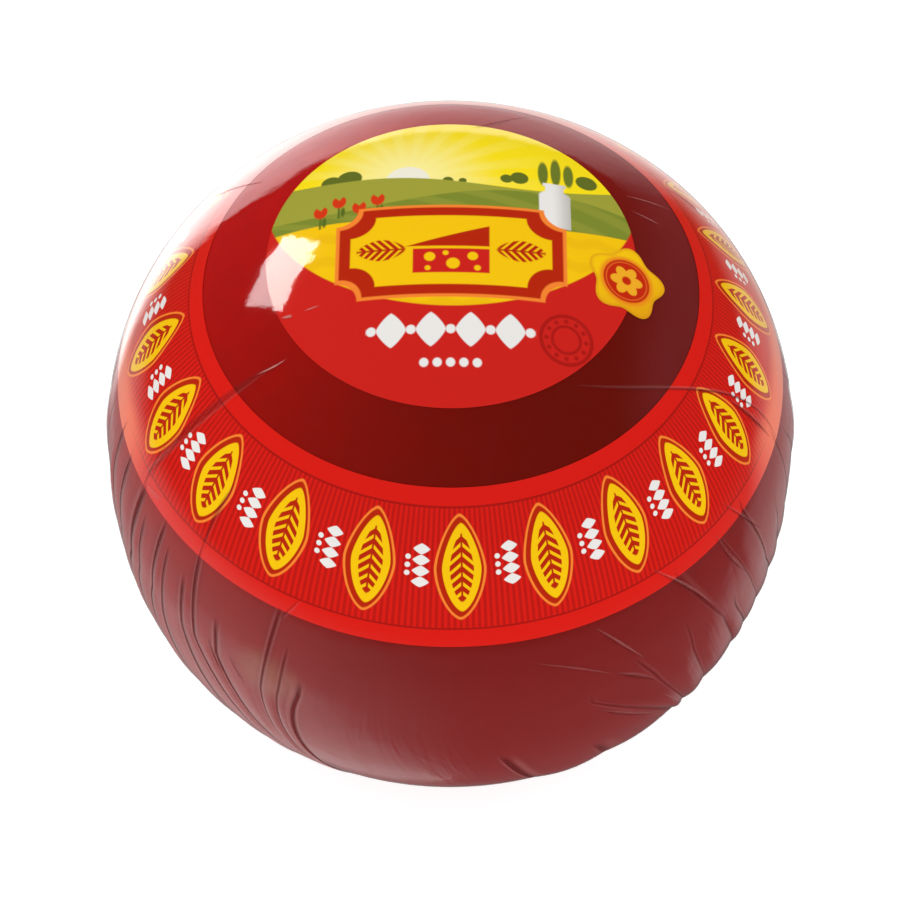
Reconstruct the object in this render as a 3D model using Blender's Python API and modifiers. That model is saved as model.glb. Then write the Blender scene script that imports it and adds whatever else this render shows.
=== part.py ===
"""A whole ball of cheese, waxed and wrapped tight in clear printed film.

The ball is a slightly squat, full-sided round that stands on a small flat foot.
The film is drawn smooth over the crown and gathered below the waist, where it
lies in narrow puffed pleats that lean round the ball towards the foot.  Three
printed pieces lie on it: a round label on the crown, a wide band below that,
and a small lobed seal that laps over the edge of the round label.

Run it with: blender --background --python part.py
"""

import math

import bmesh
import bpy
from mathutils import Vector

# ---------------------------------------------------------------------------
# Driving dimensions.  Lengths are in metres and azimuths in degrees, counted
# from the front (-Y) towards the right (+X).
# ---------------------------------------------------------------------------

WAIST_RADIUS = 0.075        # the ball is 150 mm across at its waist
CROWN_RISE = 0.0675         # from the waist up to the top
BELLY_DROP = 0.0675         # from the waist down to where the belly would close
FOOT_RADIUS = 0.028         # the flat spot that the ball stands on

# Each half follows |r/R|**ACROSS + |z/H|**UP = 1: 2 and 2 would be an ellipse.
CROWN_ACROSS, CROWN_UP = 2.17, 2.22
BELLY_ACROSS, BELLY_UP = 2.30, 2.56

CROWN_ROWS = 12
BELLY_ROWS = 14

PRINT_GAP = 0.0003          # between a printed piece and what lies under it
PRINT_THICK = 0.0003

LABEL_RADIUS = 0.0380       # round label, measured level from the axis
BAND_INNER_RADIUS = 0.0515
BAND_OUTER_RADIUS = 0.0712

SEAL_AZIMUTH = 81.0         # middle of the seal, just inside the label's edge
SEAL_FROM_AXIS = 0.0362
SEAL_RADIUS = 0.00785
SEAL_LOBES = 5
SEAL_LOBE_DEPTH = 0.00095

# Pleats of the gathered film.  Each run has the azimuths of its valleys at the
# waist, how far the puffed panels between them stand proud, and how far below
# the band they begin.  The hidden back repeats the pitch of the sides.
LEFT_VALLEYS = (-78.0, -74.0, -70.0, -64.0, -61.0, -56.5, -53.0, -48.5, -45.5,
                -40.0, -36.0, -31.0, -28.0, -24.0)
FRONT_VALLEYS = (12.0, 20.0, 29.0, 40.0)
RIGHT_VALLEYS = (51.0, 55.0, 59.0, 64.0, 71.0, 77.0)
BACK_FROM, BACK_TO, BACK_PANELS = 86.0, 276.0, 20
PLEAT_RUNS = (
    (LEFT_VALLEYS, 0.0007, 0.000),
    (FRONT_VALLEYS, 0.0009, 0.040),
    (RIGHT_VALLEYS, 0.0008, 0.003),
)
BACK_PUFF, BACK_START = 0.0007, 0.002
BACK_WANDER = 0.22          # how far a valley at the back wanders, in panels
PLEAT_FADE = 0.009          # height over which a pleat comes up to full depth
PLEAT_TWIST = 22.0          # degrees by which all pleats lean round by the foot

# Besides that twist, pleats lean steadily by so many degrees for each waist
# radius of height, at the azimuths given; between them it is blended.
STEADY_LEAN = ((-78.0, 3.0), (-24.0, 3.0), (14.0, -10.0), (51.0, -27.0),
               (86.0, -27.0), (180.0, -10.0), (282.0, 3.0))
COLUMNS_PER_PANEL = 3
PLAIN_COLUMN_STEP = 6.0     # widest gap between columns where there is no pleat


# ---------------------------------------------------------------------------
# The ball's outline, in the plane of its axis.
# ---------------------------------------------------------------------------

def foot_angle():
    """The outline angle, below the waist, where the flat foot begins."""
    return math.acos((FOOT_RADIUS / WAIST_RADIUS) ** (BELLY_ACROSS / 2))


def waist_height():
    """How high the waist stands above the surface that the foot rests on."""
    return BELLY_DROP * math.sin(foot_angle()) ** (2 / BELLY_UP)


def crown_point(angle, lift=0.0):
    """(radius, height) on the upper half; angle is 0 at the waist, pi/2 on top."""
    cosine, sine = max(math.cos(angle), 0.0), math.sin(angle)
    across = WAIST_RADIUS * cosine ** (2 / CROWN_ACROSS)
    rise = CROWN_RISE * sine ** (2 / CROWN_UP)
    outward = Vector((
        CROWN_ACROSS / WAIST_RADIUS * (across / WAIST_RADIUS) ** (CROWN_ACROSS - 1),
        CROWN_UP / CROWN_RISE * (rise / CROWN_RISE) ** (CROWN_UP - 1),
    )).normalized()
    return across + lift * outward.x, waist_height() + rise + lift * outward.y


def belly_point(angle):
    """(radius, height) on the lower half; angle is 0 at the waist."""
    across = WAIST_RADIUS * math.cos(angle) ** (2 / BELLY_ACROSS)
    drop = BELLY_DROP * math.sin(angle) ** (2 / BELLY_UP)
    return across, waist_height() - drop


def crown_angle(radius):
    """The crown's outline angle at a given distance from the axis."""
    return math.acos(min(radius / WAIST_RADIUS, 1.0) ** (CROWN_ACROSS / 2))


def crown_arc(from_radius, to_radius, rows, lift):
    """Outline points between two radii, with rows spaces, lifted off the crown."""
    start, end = crown_angle(from_radius), crown_angle(to_radius)
    angles = (start + (end - start) * row / rows for row in range(rows + 1))
    return [crown_point(angle, lift) for angle in angles]


# ---------------------------------------------------------------------------
# Small helpers.
# ---------------------------------------------------------------------------

def smooth_step(value):
    """0 below 0, 1 above 1, and a smooth curve between."""
    value = min(max(value, 0.0), 1.0)
    return value * value * (3 - 2 * value)


def clear_scene():
    for item in list(bpy.data.objects):
        bpy.data.objects.remove(item, do_unlink=True)


def make_material(name, colour, roughness):
    material = bpy.data.materials.new(name)
    material.use_nodes = True
    shader = material.node_tree.nodes["Principled BSDF"]
    shader.inputs["Base Color"].default_value = (*colour, 1.0)
    shader.inputs["Roughness"].default_value = roughness
    shader.inputs["Metallic"].default_value = 0.0
    return material


def add_object(name, mesh, collection, material):
    piece = bpy.data.objects.new(name, mesh)
    piece.data.materials.append(material)
    collection.objects.link(piece)
    return piece


def turn(piece, steps):
    """Turn the piece's outline round the Z axis with a Screw modifier."""
    screw = piece.modifiers.new("turn", 'SCREW')
    screw.axis = 'Z'
    screw.steps = screw.render_steps = steps
    screw.use_merge_vertices = True
    screw.merge_threshold = 0.00001
    screw.use_smooth_shade = True


def outline_mesh(name, points, closed):
    """A mesh of edges through (radius, height) points, in the XZ plane."""
    mesh = bpy.data.meshes.new(name)
    vertices = [(radius, 0.0, height) for radius, height in points]
    edges = [(i, i + 1) for i in range(len(points) - 1)]
    if closed:
        edges.append((len(points) - 1, 0))
    mesh.from_pydata(vertices, edges, [])
    return mesh


def apply_modifiers(piece):
    """Replace the piece's mesh with what its modifiers make of it."""
    graph = bpy.context.evaluated_depsgraph_get()
    mesh = bpy.data.meshes.new_from_object(piece.evaluated_get(graph))
    piece.modifiers.clear()
    piece.data = mesh


# ---------------------------------------------------------------------------
# Pleats.
# ---------------------------------------------------------------------------

def back_valleys():
    """Valley azimuths round the back: evenly spaced, but for a small wander."""
    pitch = (BACK_TO - BACK_FROM) / BACK_PANELS
    inner = (index + BACK_WANDER * math.sin(2.4 * index) for index in range(1, BACK_PANELS))
    return (BACK_FROM, *(BACK_FROM + place * pitch for place in inner), BACK_TO)


def pleat_columns():
    """(azimuth, puff, start) for each column of the ball's mesh, in order."""
    columns = []
    for valleys, puff, start in PLEAT_RUNS + ((back_valleys(), BACK_PUFF, BACK_START),):
        for index, (left, right) in enumerate(zip(valleys, valleys[1:])):
            height = puff * (0.8 + 0.2 * math.cos(2.4 * index))
            for step in range(COLUMNS_PER_PANEL):
                part = step / COLUMNS_PER_PANEL
                swell = height * math.sin(math.pi * part)
                columns.append((left + (right - left) * part, swell, start))
        columns.append((valleys[-1], 0.0, start))
    return sorted(columns + plain_columns(columns))


def plain_columns(columns):
    """Columns that fill the smooth stretches between the runs of pleats."""
    turns = [azimuth for azimuth, _puff, _start in columns]
    extra = []
    for left, right in zip(turns, turns[1:] + [turns[0] + 360.0]):
        spaces = math.ceil((right - left) / PLAIN_COLUMN_STEP)
        for index in range(1, spaces):
            extra.append((left + (right - left) * index / spaces, 0.0, 0.0))
    return extra


def pleat_strength(height, start):
    """How much of a pleat's puff shows at a height: none on the crown or foot."""
    band_edge = crown_point(crown_angle(BAND_OUTER_RADIUS))[1]
    below_band = (band_edge - start - height) / PLEAT_FADE
    above_foot = height / PLEAT_FADE
    return smooth_step(below_band) * smooth_step(above_foot)


def steady_lean(azimuth):
    """The steady lean at an azimuth, in degrees for each waist radius of height."""
    for (left, lean_left), (right, lean_right) in zip(STEADY_LEAN, STEADY_LEAN[1:]):
        if azimuth <= right:
            break
    return lean_left + (lean_right - lean_left) * (azimuth - left) / (right - left)


def leaned_azimuth(azimuth, height):
    """Where a column that crosses the waist at azimuth lies at a height."""
    above_waist = (height - waist_height()) / WAIST_RADIUS
    fallen = max(-above_waist, 0.0) * WAIST_RADIUS / waist_height()
    return azimuth + steady_lean(azimuth) * above_waist + PLEAT_TWIST * fallen ** 1.2


# ---------------------------------------------------------------------------
# The pieces.
# ---------------------------------------------------------------------------

def make_wrapped_ball(collection, material):
    """The cheese with its wax and film: turned, then pleated below the band."""
    foot = foot_angle()
    crown = [crown_point(math.pi / 2 * (1 - row / CROWN_ROWS)) for row in range(CROWN_ROWS)]
    belly = [belly_point(foot * row / BELLY_ROWS) for row in range(BELLY_ROWS + 1)]
    outline = crown + belly + [(0.0, 0.0)]

    columns = pleat_columns()
    ball = add_object("wrapped_ball", outline_mesh("wrapped_ball", outline, False),
                      collection, material)
    turn(ball, len(columns))
    apply_modifiers(ball)

    column_step = 2 * math.pi / len(columns)
    for vertex in ball.data.vertices:
        x, y, height = vertex.co
        radius = math.hypot(x, y)
        if radius < FOOT_RADIUS / 2:
            continue
        column = round(math.atan2(y, x) / column_step) % len(columns)
        azimuth, puff, start = columns[column]
        radius += puff * pleat_strength(height, start)
        bearing = math.radians(leaned_azimuth(azimuth, height))
        vertex.co = (radius * math.sin(bearing), -radius * math.cos(bearing), height)
    ball.data.update()
    return ball


def make_round_label(collection, material):
    """The round label: a thin cap that follows the crown."""
    top = crown_arc(0.0, LABEL_RADIUS, 5, PRINT_GAP + PRINT_THICK)
    under = crown_arc(LABEL_RADIUS, 0.0, 5, PRINT_GAP)
    label = add_object("label_round", outline_mesh("label_round", top + under, False),
                       collection, material)
    turn(label, 60)
    return label


def make_band(collection, material):
    """The wide printed band: a thin ring that follows the crown's shoulder."""
    top = crown_arc(BAND_INNER_RADIUS, BAND_OUTER_RADIUS, 4, PRINT_GAP + PRINT_THICK)
    under = crown_arc(BAND_OUTER_RADIUS, BAND_INNER_RADIUS, 4, PRINT_GAP)
    band = add_object("label_band", outline_mesh("label_band", top + under, True),
                      collection, material)
    turn(band, 72)
    return band


def crown_frame(azimuth, from_axis):
    """A crown point's outward, sideways and uphill directions, as unit vectors."""
    bearing = math.radians(azimuth)
    away = Vector((math.sin(bearing), -math.cos(bearing), 0.0))
    angle = crown_angle(from_axis)
    low, high = crown_point(angle), crown_point(angle, 1.0)
    outward = away * (high[0] - low[0]) + Vector((0.0, 0.0, high[1] - low[1]))
    sideways = Vector((0.0, 0.0, 1.0)).cross(away)
    return away * low[0] + Vector((0.0, 0.0, low[1])), sideways, outward.cross(sideways)


def drape_on_crown(point, lift):
    """The point moved up or down until it is lift above the crown."""
    radius = math.hypot(point.x, point.y)
    level, height = crown_point(crown_angle(radius), lift)
    return Vector((point.x * level / radius, point.y * level / radius, height))


def make_seal(collection, material):
    """The lobed seal, laid over the round label's edge and the wax beside it."""
    middle, sideways, uphill = crown_frame(SEAL_AZIMUTH, SEAL_FROM_AXIS)
    under_lift = 2 * PRINT_GAP + PRINT_THICK

    shape = bmesh.new()
    bmesh.ops.create_circle(shape, cap_ends=True, segments=12 * SEAL_LOBES, radius=1.0)
    inner_face = shape.faces[:]
    bmesh.ops.inset_region(shape, faces=inner_face, thickness=0.5)
    bmesh.ops.poke(shape, faces=inner_face)
    for vertex in shape.verts:
        angle = math.atan2(vertex.co.y, vertex.co.x)
        reach = SEAL_RADIUS + SEAL_LOBE_DEPTH * math.cos(SEAL_LOBES * angle)
        flat = middle + reach * (vertex.co.x * sideways + vertex.co.y * uphill)
        vertex.co = drape_on_crown(flat, under_lift)
    bmesh.ops.recalc_face_normals(shape, faces=shape.faces[:])
    mesh = bpy.data.meshes.new("label_seal")
    shape.to_mesh(mesh)
    shape.free()

    seal = add_object("label_seal", mesh, collection, material)
    thicken = seal.modifiers.new("thicken", 'SOLIDIFY')
    thicken.thickness = PRINT_THICK
    thicken.offset = 1.0
    return seal


def main():
    clear_scene()
    collection = bpy.data.collections.new("ball_of_cheese")
    bpy.context.scene.collection.children.link(collection)

    wax = make_material("wax_under_film", (0.145, 0.010, 0.011), 0.25)
    red_print = make_material("red_print", (0.720, 0.012, 0.012), 0.30)
    yellow_print = make_material("yellow_print", (0.900, 0.500, 0.010), 0.30)

    make_wrapped_ball(collection, wax)
    make_round_label(collection, red_print)
    make_band(collection, red_print)
    make_seal(collection, yellow_print)


if __name__ == "__main__":
    main()
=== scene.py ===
"""The looks of a ball of cheese: red wax under tight, clear, printed film.

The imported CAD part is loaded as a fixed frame.  Its solids are replaced by a
waxed ball, by the clear film that is drawn over it and gathered below the
waist, and by three printed pieces that lie between the two.

Lengths are in metres.  Azimuths are in degrees, counted from the front (-Y)
towards the right (+X).
"""

import math
from collections import Counter

import bpy
import numpy as np
from bpy.props import FloatProperty, FloatVectorProperty, IntProperty, PointerProperty
from bpy.types import Operator, Panel, PropertyGroup
from mathutils import Matrix, Vector
from mathutils.bvhtree import BVHTree


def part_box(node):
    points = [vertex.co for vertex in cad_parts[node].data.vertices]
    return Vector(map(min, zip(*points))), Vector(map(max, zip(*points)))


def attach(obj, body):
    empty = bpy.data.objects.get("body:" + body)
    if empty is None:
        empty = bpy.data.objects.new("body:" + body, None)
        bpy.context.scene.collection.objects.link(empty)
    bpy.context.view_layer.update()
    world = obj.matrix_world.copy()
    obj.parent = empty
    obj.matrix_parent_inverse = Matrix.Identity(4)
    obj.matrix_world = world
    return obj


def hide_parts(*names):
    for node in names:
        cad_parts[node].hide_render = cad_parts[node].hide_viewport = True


bl_info = {
    "name": "Waxed ball of cheese",
    "version": (1, 0, 0),
    "blender": (4, 5, 0),
    "location": "3D View > Sidebar > Cheese",
    "description": "Dresses the packed ball of cheese in wax, print and clear film",
    "category": "Object",
}

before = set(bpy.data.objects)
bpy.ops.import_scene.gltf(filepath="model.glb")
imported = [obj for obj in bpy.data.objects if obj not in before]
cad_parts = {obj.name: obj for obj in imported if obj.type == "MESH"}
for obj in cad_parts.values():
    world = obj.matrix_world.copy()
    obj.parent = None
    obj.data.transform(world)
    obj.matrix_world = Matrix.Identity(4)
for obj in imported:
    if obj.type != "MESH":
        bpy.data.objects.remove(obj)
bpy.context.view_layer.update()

# ---------------------------------------------------------------------------
# Sizes that the CAD part was built from.
# ---------------------------------------------------------------------------

WAIST_RADIUS = 0.075
CROWN_RISE = 0.0675
BELLY_DROP = 0.0675
FOOT_RADIUS = 0.028
CROWN_ACROSS, CROWN_UP = 2.17, 2.22
BELLY_ACROSS, BELLY_UP = 2.30, 2.56
WAIST_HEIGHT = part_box("wrapped_ball")[1].z - CROWN_RISE

LABEL_RADIUS = 0.0380
BAND_INNER_RADIUS = 0.0515
BAND_OUTER_RADIUS = 0.0712
SEAL_AZIMUTH = math.radians(81.0)
SEAL_MIDDLE = (0.0362 * math.sin(SEAL_AZIMUTH), -0.0362 * math.cos(SEAL_AZIMUTH))
SEAL_SQUASH = (0.92, 1.0)   # the crown slopes under it, so it is narrower from above
SEAL_RADIUS = 0.00785
SEAL_LOBES = 5
SEAL_LOBE_DEPTH = 0.00095

BACK_FROM, BACK_TO, BACK_PANELS = 86.0, 276.0, 20
BACK_WANDER = 0.22
PLEAT_TWIST = 22.0

# ---------------------------------------------------------------------------
# Sizes that belong to the looks alone.
# ---------------------------------------------------------------------------

WAX_DEPTH = 0.00005         # the wax lies this far inside the CAD outline
PRINT_LIFT = 0.00010        # outer face of the printed pieces
SEAL_LIFT = 0.00018
PRINT_THICKNESS = 0.00006
BAND_LINE_RADII = (0.0545, 0.0696)
MEDALLION_MIDDLE_RADIUS = 0.0629
PUFF_FADE = 0.014           # over this height a pleat swells to its full puff

# The film's folds.  Each is: the azimuth where it crosses the waist; the degrees it
# strays by the band's edge; the degrees it strays, besides the common twist, by 25 mm
# below the waist; how far above the waist it starts, in mm; how dark it is, that is how
# strong the painted shade along it is; and the width of that dark line, in mm.
LEFT_FOLDS = (
    (-78.5, 0.0, -7.0, 22, 0.7, 0.40),
    (-75.2, -0.6, -7.0, 26, 0.9, 0.42),
    (-70.8, 0.8, -7.0, 24, 1.0, 0.42),
    (-65.4, 2.6, -8.0, 24, 1.0, 0.75),
    (-62.0, 1.6, -7.0, 18, 0.8, 0.40),
    (-57.4, 2.3, -6.4, 23, 1.0, 0.45),
    (-54.3, 1.5, -4.0, 18, 0.8, 0.40),
    (-48.8, 0.5, -1.0, 15, 0.9, 0.55),
    (-45.6, -0.4, 2.0, 25, 1.0, 0.42),
    (-40.6, 0.2, 1.0, 10, 1.0, 0.50),
    (-31.4, 2.7, -4.0, 24, 0.8, 0.36),
    (-28.2, 2.6, -5.0, 14, 0.6, 0.34),
    (-24.6, 2.4, -6.5, 4, 1.0, 0.90),
)
FRONT_FOLDS = (
    (5.0, 0.0, 0.0, -16, 1.0, 1.30),
    (19.5, 0.0, 0.0, -22, 0.5, 0.50),
    (23.4, 0.0, 11.0, 1, 0.35, 0.40),
    (35.0, -11.0, 2.5, 8, 0.35, 0.40),
    (43.3, -4.0, 0.0, 9, 0.35, 0.30),
    (51.0, -10.6, 1.0, 25, 0.4, 0.35),
)
RIGHT_FOLDS = (
    (51.0, -10.6, 1.0, 25, 0.4, 0.35),
    (54.2, -3.0, 2.0, 2, 0.7, 0.35),
    (59.5, -8.0, 2.0, 24, 0.4, 0.28),
    (65.0, -6.5, 3.0, 26, 0.8, 0.32),
    (71.0, -4.0, 2.0, 12, 0.5, 0.30),
    (77.0, -2.7, 2.0, 27, 0.8, 0.32),
)

# Small creases besides the folds: places (azimuth, mm above the waist, measured along
# the film) that one runs through, its width in mm, and how strong its painted shade line and
# its painted highlight line are.
CREASES = (
    (((-54.0, 71), (-57.5, 56), (-60.5, 42), (-63.0, 27)), 1.9, 0.30, 0.0),
    (((-60.8, 44), (-63.0, 35), (-65.2, 26)), 1.1, 0.05, 0.12),
    (((-57.5, 29), (-60.5, 28), (-63.5, 27)), 1.5, 0.0, 0.14),
    (((-53.2, 72), (-54.5, 69), (-56.4, 65)), 0.35, 0.0, 0.70),
    (((-62.6, 40), (-63.2, 30), (-63.4, 22)), 0.45, 0.45, 0.10),
    (((-44.4, 46), (-45.2, 36), (-45.7, 25)), 1.1, 0.34, 0.0),
    (((-42.2, 4), (-41.0, -1), (-39.5, -6)), 0.5, 0.60, 0.10),
    (((-37.8, 3), (-36.0, -1), (-34.6, -5)), 0.5, 0.55, 0.10),
    (((-25.2, 30), (-27.0, 26), (-28.6, 22)), 0.5, 0.22, 0.08),
    (((13.0, 19), (21.0, 13.5), (27.5, 7)), 0.5, 0.14, 0.13),
    (((27.0, 8), (31.5, 3), (35.5, -3)), 0.8, 0.50, 0.10),
    (((24.0, 24), (28.6, 16), (33.2, 7)), 0.5, 0.30, 0.20),
    (((24.0, -3), (31.0, -12), (38.6, -22)), 0.6, 0.45, 0.12),
    (((36.0, 31), (40.4, 25), (44.5, 16), (48.0, 8)), 0.55, 0.40, 0.20),
    (((50.6, 28), (52.9, 18), (57.0, 8)), 0.5, 0.50, 0.08),
    (((54.5, 32), (58.6, 23), (63.0, 13)), 0.5, 0.50, 0.08),
    (((36.0, 73.5), (58.0, 63), (68.0, 49), (72.5, 34), (75.0, 18)), 0.40, 0.55, 0.10),
    (((69.0, 46), (71.2, 38), (73.2, 28)), 0.75, 0.55, 0.10),
    (((159.0, 61), (165.5, 71.6), (173.0, 77)), 0.45, 0.45, 0.10),
    (((-120.6, 44), (-122.0, 55), (-123.2, 65)), 0.45, 0.50, 0.15),
    (((118.0, 72), (115.8, 66.8), (113.8, 60)), 0.40, 0.10, 0.30),
    (((111.5, 73), (109.0, 70), (107.0, 66.5)), 0.35, 0.05, 0.28),
    (((123.0, 54), (120.0, 50), (116.0, 47)), 0.60, 0.45, 0.10),
    (((-65.6, 75.6), (-64.4, 76.6), (-63.4, 77.8)), 0.50, 0.0, 0.55),
    (((-62.9, 80.6), (-61.8, 82.0), (-61.0, 84.0)), 0.35, 0.0, 0.45),
)


# ---------------------------------------------------------------------------
# Settings.
# ---------------------------------------------------------------------------

def colour_property(name, description, default):
    return FloatVectorProperty(name=name, description=description, default=default,
                               size=3, min=0.0, max=1.0, subtype='COLOR')


class WrapSettings(PropertyGroup):
    """Wax and film."""

    film_lift: FloatProperty(
        name="Film lift", description="How far the film lies outside the CAD outline",
        default=0.00022, min=0.0002, max=0.001, unit='LENGTH', precision=5)
    pleat_height: FloatProperty(
        name="Pleat height", description="Height of the film's pleats, as a share of the CAD's",
        default=1.0, min=0.0, max=1.3, subtype='FACTOR')
    film_ior: FloatProperty(
        name="Film index", description="Index of refraction that sets the film's gloss",
        default=1.5, min=1.2, max=1.8)
    film_roughness: FloatProperty(
        name="Film roughness", description="Blur of what the film mirrors",
        default=0.05, min=0.0, max=0.5, subtype='FACTOR')
    # Painted light: the crown's wax is painted brighter on its shoulder at the back left, where
    # the key light falls. It stays plain dark red away from that side.
    wax_red: colour_property(
        "Wax", "Colour of the wax on the dark side of the crown", (0.122, 0.0050, 0.0022))
    wax_painted_lit: colour_property(
        "Bright wax", "Colour of the wax on the bright side of the crown",
        (0.430, 0.0065, 0.0055))
    # Painted haze: a pale reflection painted on the wax at the right of the crown.
    wax_painted_haze: colour_property(
        "Haze", "Colour of the hazy wax at the right of the crown", (0.160, 0.022, 0.023))
    # Painted light: below the band the wax is painted paler than on the crown, and paler still
    # at the left, where more light falls.
    wax_low: colour_property(
        "Low wax", "Colour of the wax below the band", (0.180, 0.0105, 0.0105))
    wax_low_left_painted_lit: colour_property(
        "Low left wax", "Colour of the wax below the band, at the left", (0.265, 0.020, 0.019))
    # Painted shade: this dark red is painted in the film's tucks, on the wax beside the folds,
    # and in the creases' dark lines.
    fold_shade_red: colour_property(
        "Folds", "Colour of the film where it is tucked tight", (0.140, 0.009, 0.009))
    # Painted highlight: this pale colour is painted on the strip beside each fold and on the
    # creases' light lines.
    painted_highlight: colour_property(
        "Highlight", "Colour of the film where a crease turns it milky", (0.62, 0.27, 0.25))


class PrintSettings(PropertyGroup):
    """Colours and counts of the print."""

    medallions: IntProperty(
        name="Medallions", description="How many medallions run round the band",
        default=22, min=6, max=40)
    red: colour_property("Red", "Ground of the label", (0.620, 0.0165, 0.0120))
    band_red: colour_property("Band red", "Ground of the band", (0.700, 0.0125, 0.0080))
    dark_red: colour_property("Dark red", "Lines and hatching", (0.330, 0.0080, 0.0060))
    yellow: colour_property("Yellow", "Medallions and meadow", (0.950, 0.570, 0.0050))
    orange: colour_property("Orange", "Outlines", (0.940, 0.240, 0.0320))
    white: colour_property("White", "Ornaments", (0.850, 0.830, 0.800))
    green: colour_property("Green", "Fields", (0.210, 0.260, 0.0300))


class StageSettings(PropertyGroup):
    """Camera and light."""

    distance: FloatProperty(
        name="Distance", description="From the camera to the middle of the waist",
        default=0.676, min=0.3, max=3.0, unit='LENGTH')
    elevation: FloatProperty(
        name="Elevation", description="How high the camera stands",
        default=math.radians(53.1), min=0.0, max=math.radians(90), unit='ROTATION')
    roll: FloatProperty(
        name="Roll", description="Tilt of the camera round its own axis",
        default=0.0061, min=-0.2, max=0.2, unit='ROTATION')
    aim_drop: FloatProperty(
        name="Aim drop", description="How far below the middle of the waist the camera aims",
        default=0.0029, min=-0.05, max=0.05, unit='LENGTH')
    lens: FloatProperty(
        name="Lens", description="Focal length for a 36 mm wide sensor",
        default=122.2, min=20.0, max=300.0)
    key_power: FloatProperty(
        name="Key light", description="Power of the large light at the back left",
        default=2.2, min=0.0, max=100.0, unit='POWER')
    dome: FloatProperty(
        name="Dome", description="Strength of the soft light from all round",
        default=1.0, min=0.0, max=5.0)


# ---------------------------------------------------------------------------
# The ball's outline, in the plane of its axis.
# ---------------------------------------------------------------------------

def crown_point(angle, lift=0.0):
    """(radius, height) on the upper half; angle is 0 at the waist, pi/2 on top."""
    across = WAIST_RADIUS * np.maximum(np.cos(angle), 0.0) ** (2 / CROWN_ACROSS)
    rise = CROWN_RISE * np.maximum(np.sin(angle), 0.0) ** (2 / CROWN_UP)
    out = CROWN_ACROSS / WAIST_RADIUS * (across / WAIST_RADIUS) ** (CROWN_ACROSS - 1)
    up = CROWN_UP / CROWN_RISE * (rise / CROWN_RISE) ** (CROWN_UP - 1)
    length = np.hypot(out, up)
    return across + lift * out / length, WAIST_HEIGHT + rise + lift * up / length


def crown_angle(radius):
    """The crown's outline angle at a given distance from the axis."""
    return np.arccos(np.minimum(np.asarray(radius) / WAIST_RADIUS, 1.0) ** (CROWN_ACROSS / 2))


def belly_point(angle):
    """(radius, height) on the lower half; angle is 0 at the waist."""
    across = WAIST_RADIUS * np.cos(angle) ** (2 / BELLY_ACROSS)
    drop = BELLY_DROP * np.sin(angle) ** (2 / BELLY_UP)
    return across, WAIST_HEIGHT - drop


def resampled(line, count):
    """Points evenly spaced along a line of (radius, height) points."""
    run = np.concatenate(([0.0], np.cumsum(np.hypot(*np.diff(line, axis=0).T))))
    places = np.linspace(0.0, run[-1], count)
    return np.column_stack([np.interp(places, run, line[:, axis]) for axis in (0, 1)])


def ball_outline(rows):
    """The whole outline, from the top to the middle of the foot."""
    foot_angle = math.acos((FOOT_RADIUS / WAIST_RADIUS) ** (BELLY_ACROSS / 2))
    crown = np.column_stack(crown_point(np.linspace(math.pi / 2, 0.0, 2000)))
    belly = np.column_stack(belly_point(np.linspace(0.0, foot_angle, 2000)[1:]))
    crown[0, 0] = 0.0
    return resampled(np.vstack((crown, belly, (0.0, 0.0))), rows)


def outward_directions(line):
    """Unit (radius, height) directions that point out of the outline."""
    along = np.gradient(line, axis=0)
    out = np.column_stack((-along[:, 1], along[:, 0]))
    return out / np.hypot(*out.T)[:, None]


BAND_EDGE_HEIGHT = float(crown_point(crown_angle(BAND_OUTER_RADIUS))[1])


# ---------------------------------------------------------------------------
# Pleats.
# ---------------------------------------------------------------------------

def smooth_step(value):
    """0 below 0, 1 above 1, and a smooth curve between."""
    value = np.clip(value, 0.0, 1.0)
    return value * value * (3 - 2 * value)


def back_folds():
    """Folds round the back: evenly spaced, but for a small wander."""
    pitch = (BACK_TO - BACK_FROM) / BACK_PANELS
    folds = []
    for index in range(BACK_PANELS + 1):
        inner = 0 < index < BACK_PANELS
        azimuth = BACK_FROM + (index + BACK_WANDER * math.sin(2.4 * index) * inner) * pitch
        share = index / BACK_PANELS
        folds.append((azimuth, -8.0 + 8.5 * share, 2.0 - 9.0 * share ** 2,
                      21 + 4 * math.sin(1.7 * index), 0.7 + 0.3 * math.cos(2.9 * index), 0.34))
    return folds


def pleat_columns(panel_parts, plain_step):
    """One row for each column of a pleated mesh, running round the ball.

    A row is: azimuth, stray above, stray below, where its fold starts, where its puff
    starts (metres above the waist), fold darkness (the strength of the painted shade
    along the fold), gap to the fold in widths of the fold's line, and puff.
    """
    columns = []
    for folds, puff in ((LEFT_FOLDS, 0.00042), (FRONT_FOLDS, 0.00070), (RIGHT_FOLDS, 0.00045),
                        (back_folds(), 0.00050)):
        for index, (left, right) in enumerate(zip(folds, folds[1:])):
            left, right = np.array(left), np.array(right)
            wide = (right[0] - left[0]) * math.radians(1000 * WAIST_RADIUS)
            height = puff * (0.8 + 0.2 * math.cos(2.4 * index))
            puff_start = min(left[3], right[3])
            for part in (*panel_parts, 1.0):
                azimuth, above, below, *_rest = left + (right - left) * part
                near, reach = (left, part) if part < 0.5 else (right, 1.0 - part)
                columns.append((azimuth, above, below, near[3] / 1000, puff_start / 1000,
                                near[4], reach * wide / near[5],
                                height * math.sin(math.pi * part ** 0.9)))
    columns.sort()
    columns = np.array(columns)
    columns = columns[np.append(True, np.diff(columns[:, 0]) > 1e-6)]
    after = np.vstack((columns[1:], columns[:1] + np.eye(1, 8) * 360.0))
    rows = []
    for here, there in zip(columns, after):
        rows.append(here)
        spaces = math.ceil((there[0] - here[0]) / plain_step)
        for index in range(1, spaces):
            share = index / spaces
            row = here + (there - here) * share
            if here[6] + there[6] == 0.0:
                row[6] = min(share, 1.0 - share) * 100.0
            rows.append(row)
    return np.array(rows).T


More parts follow.
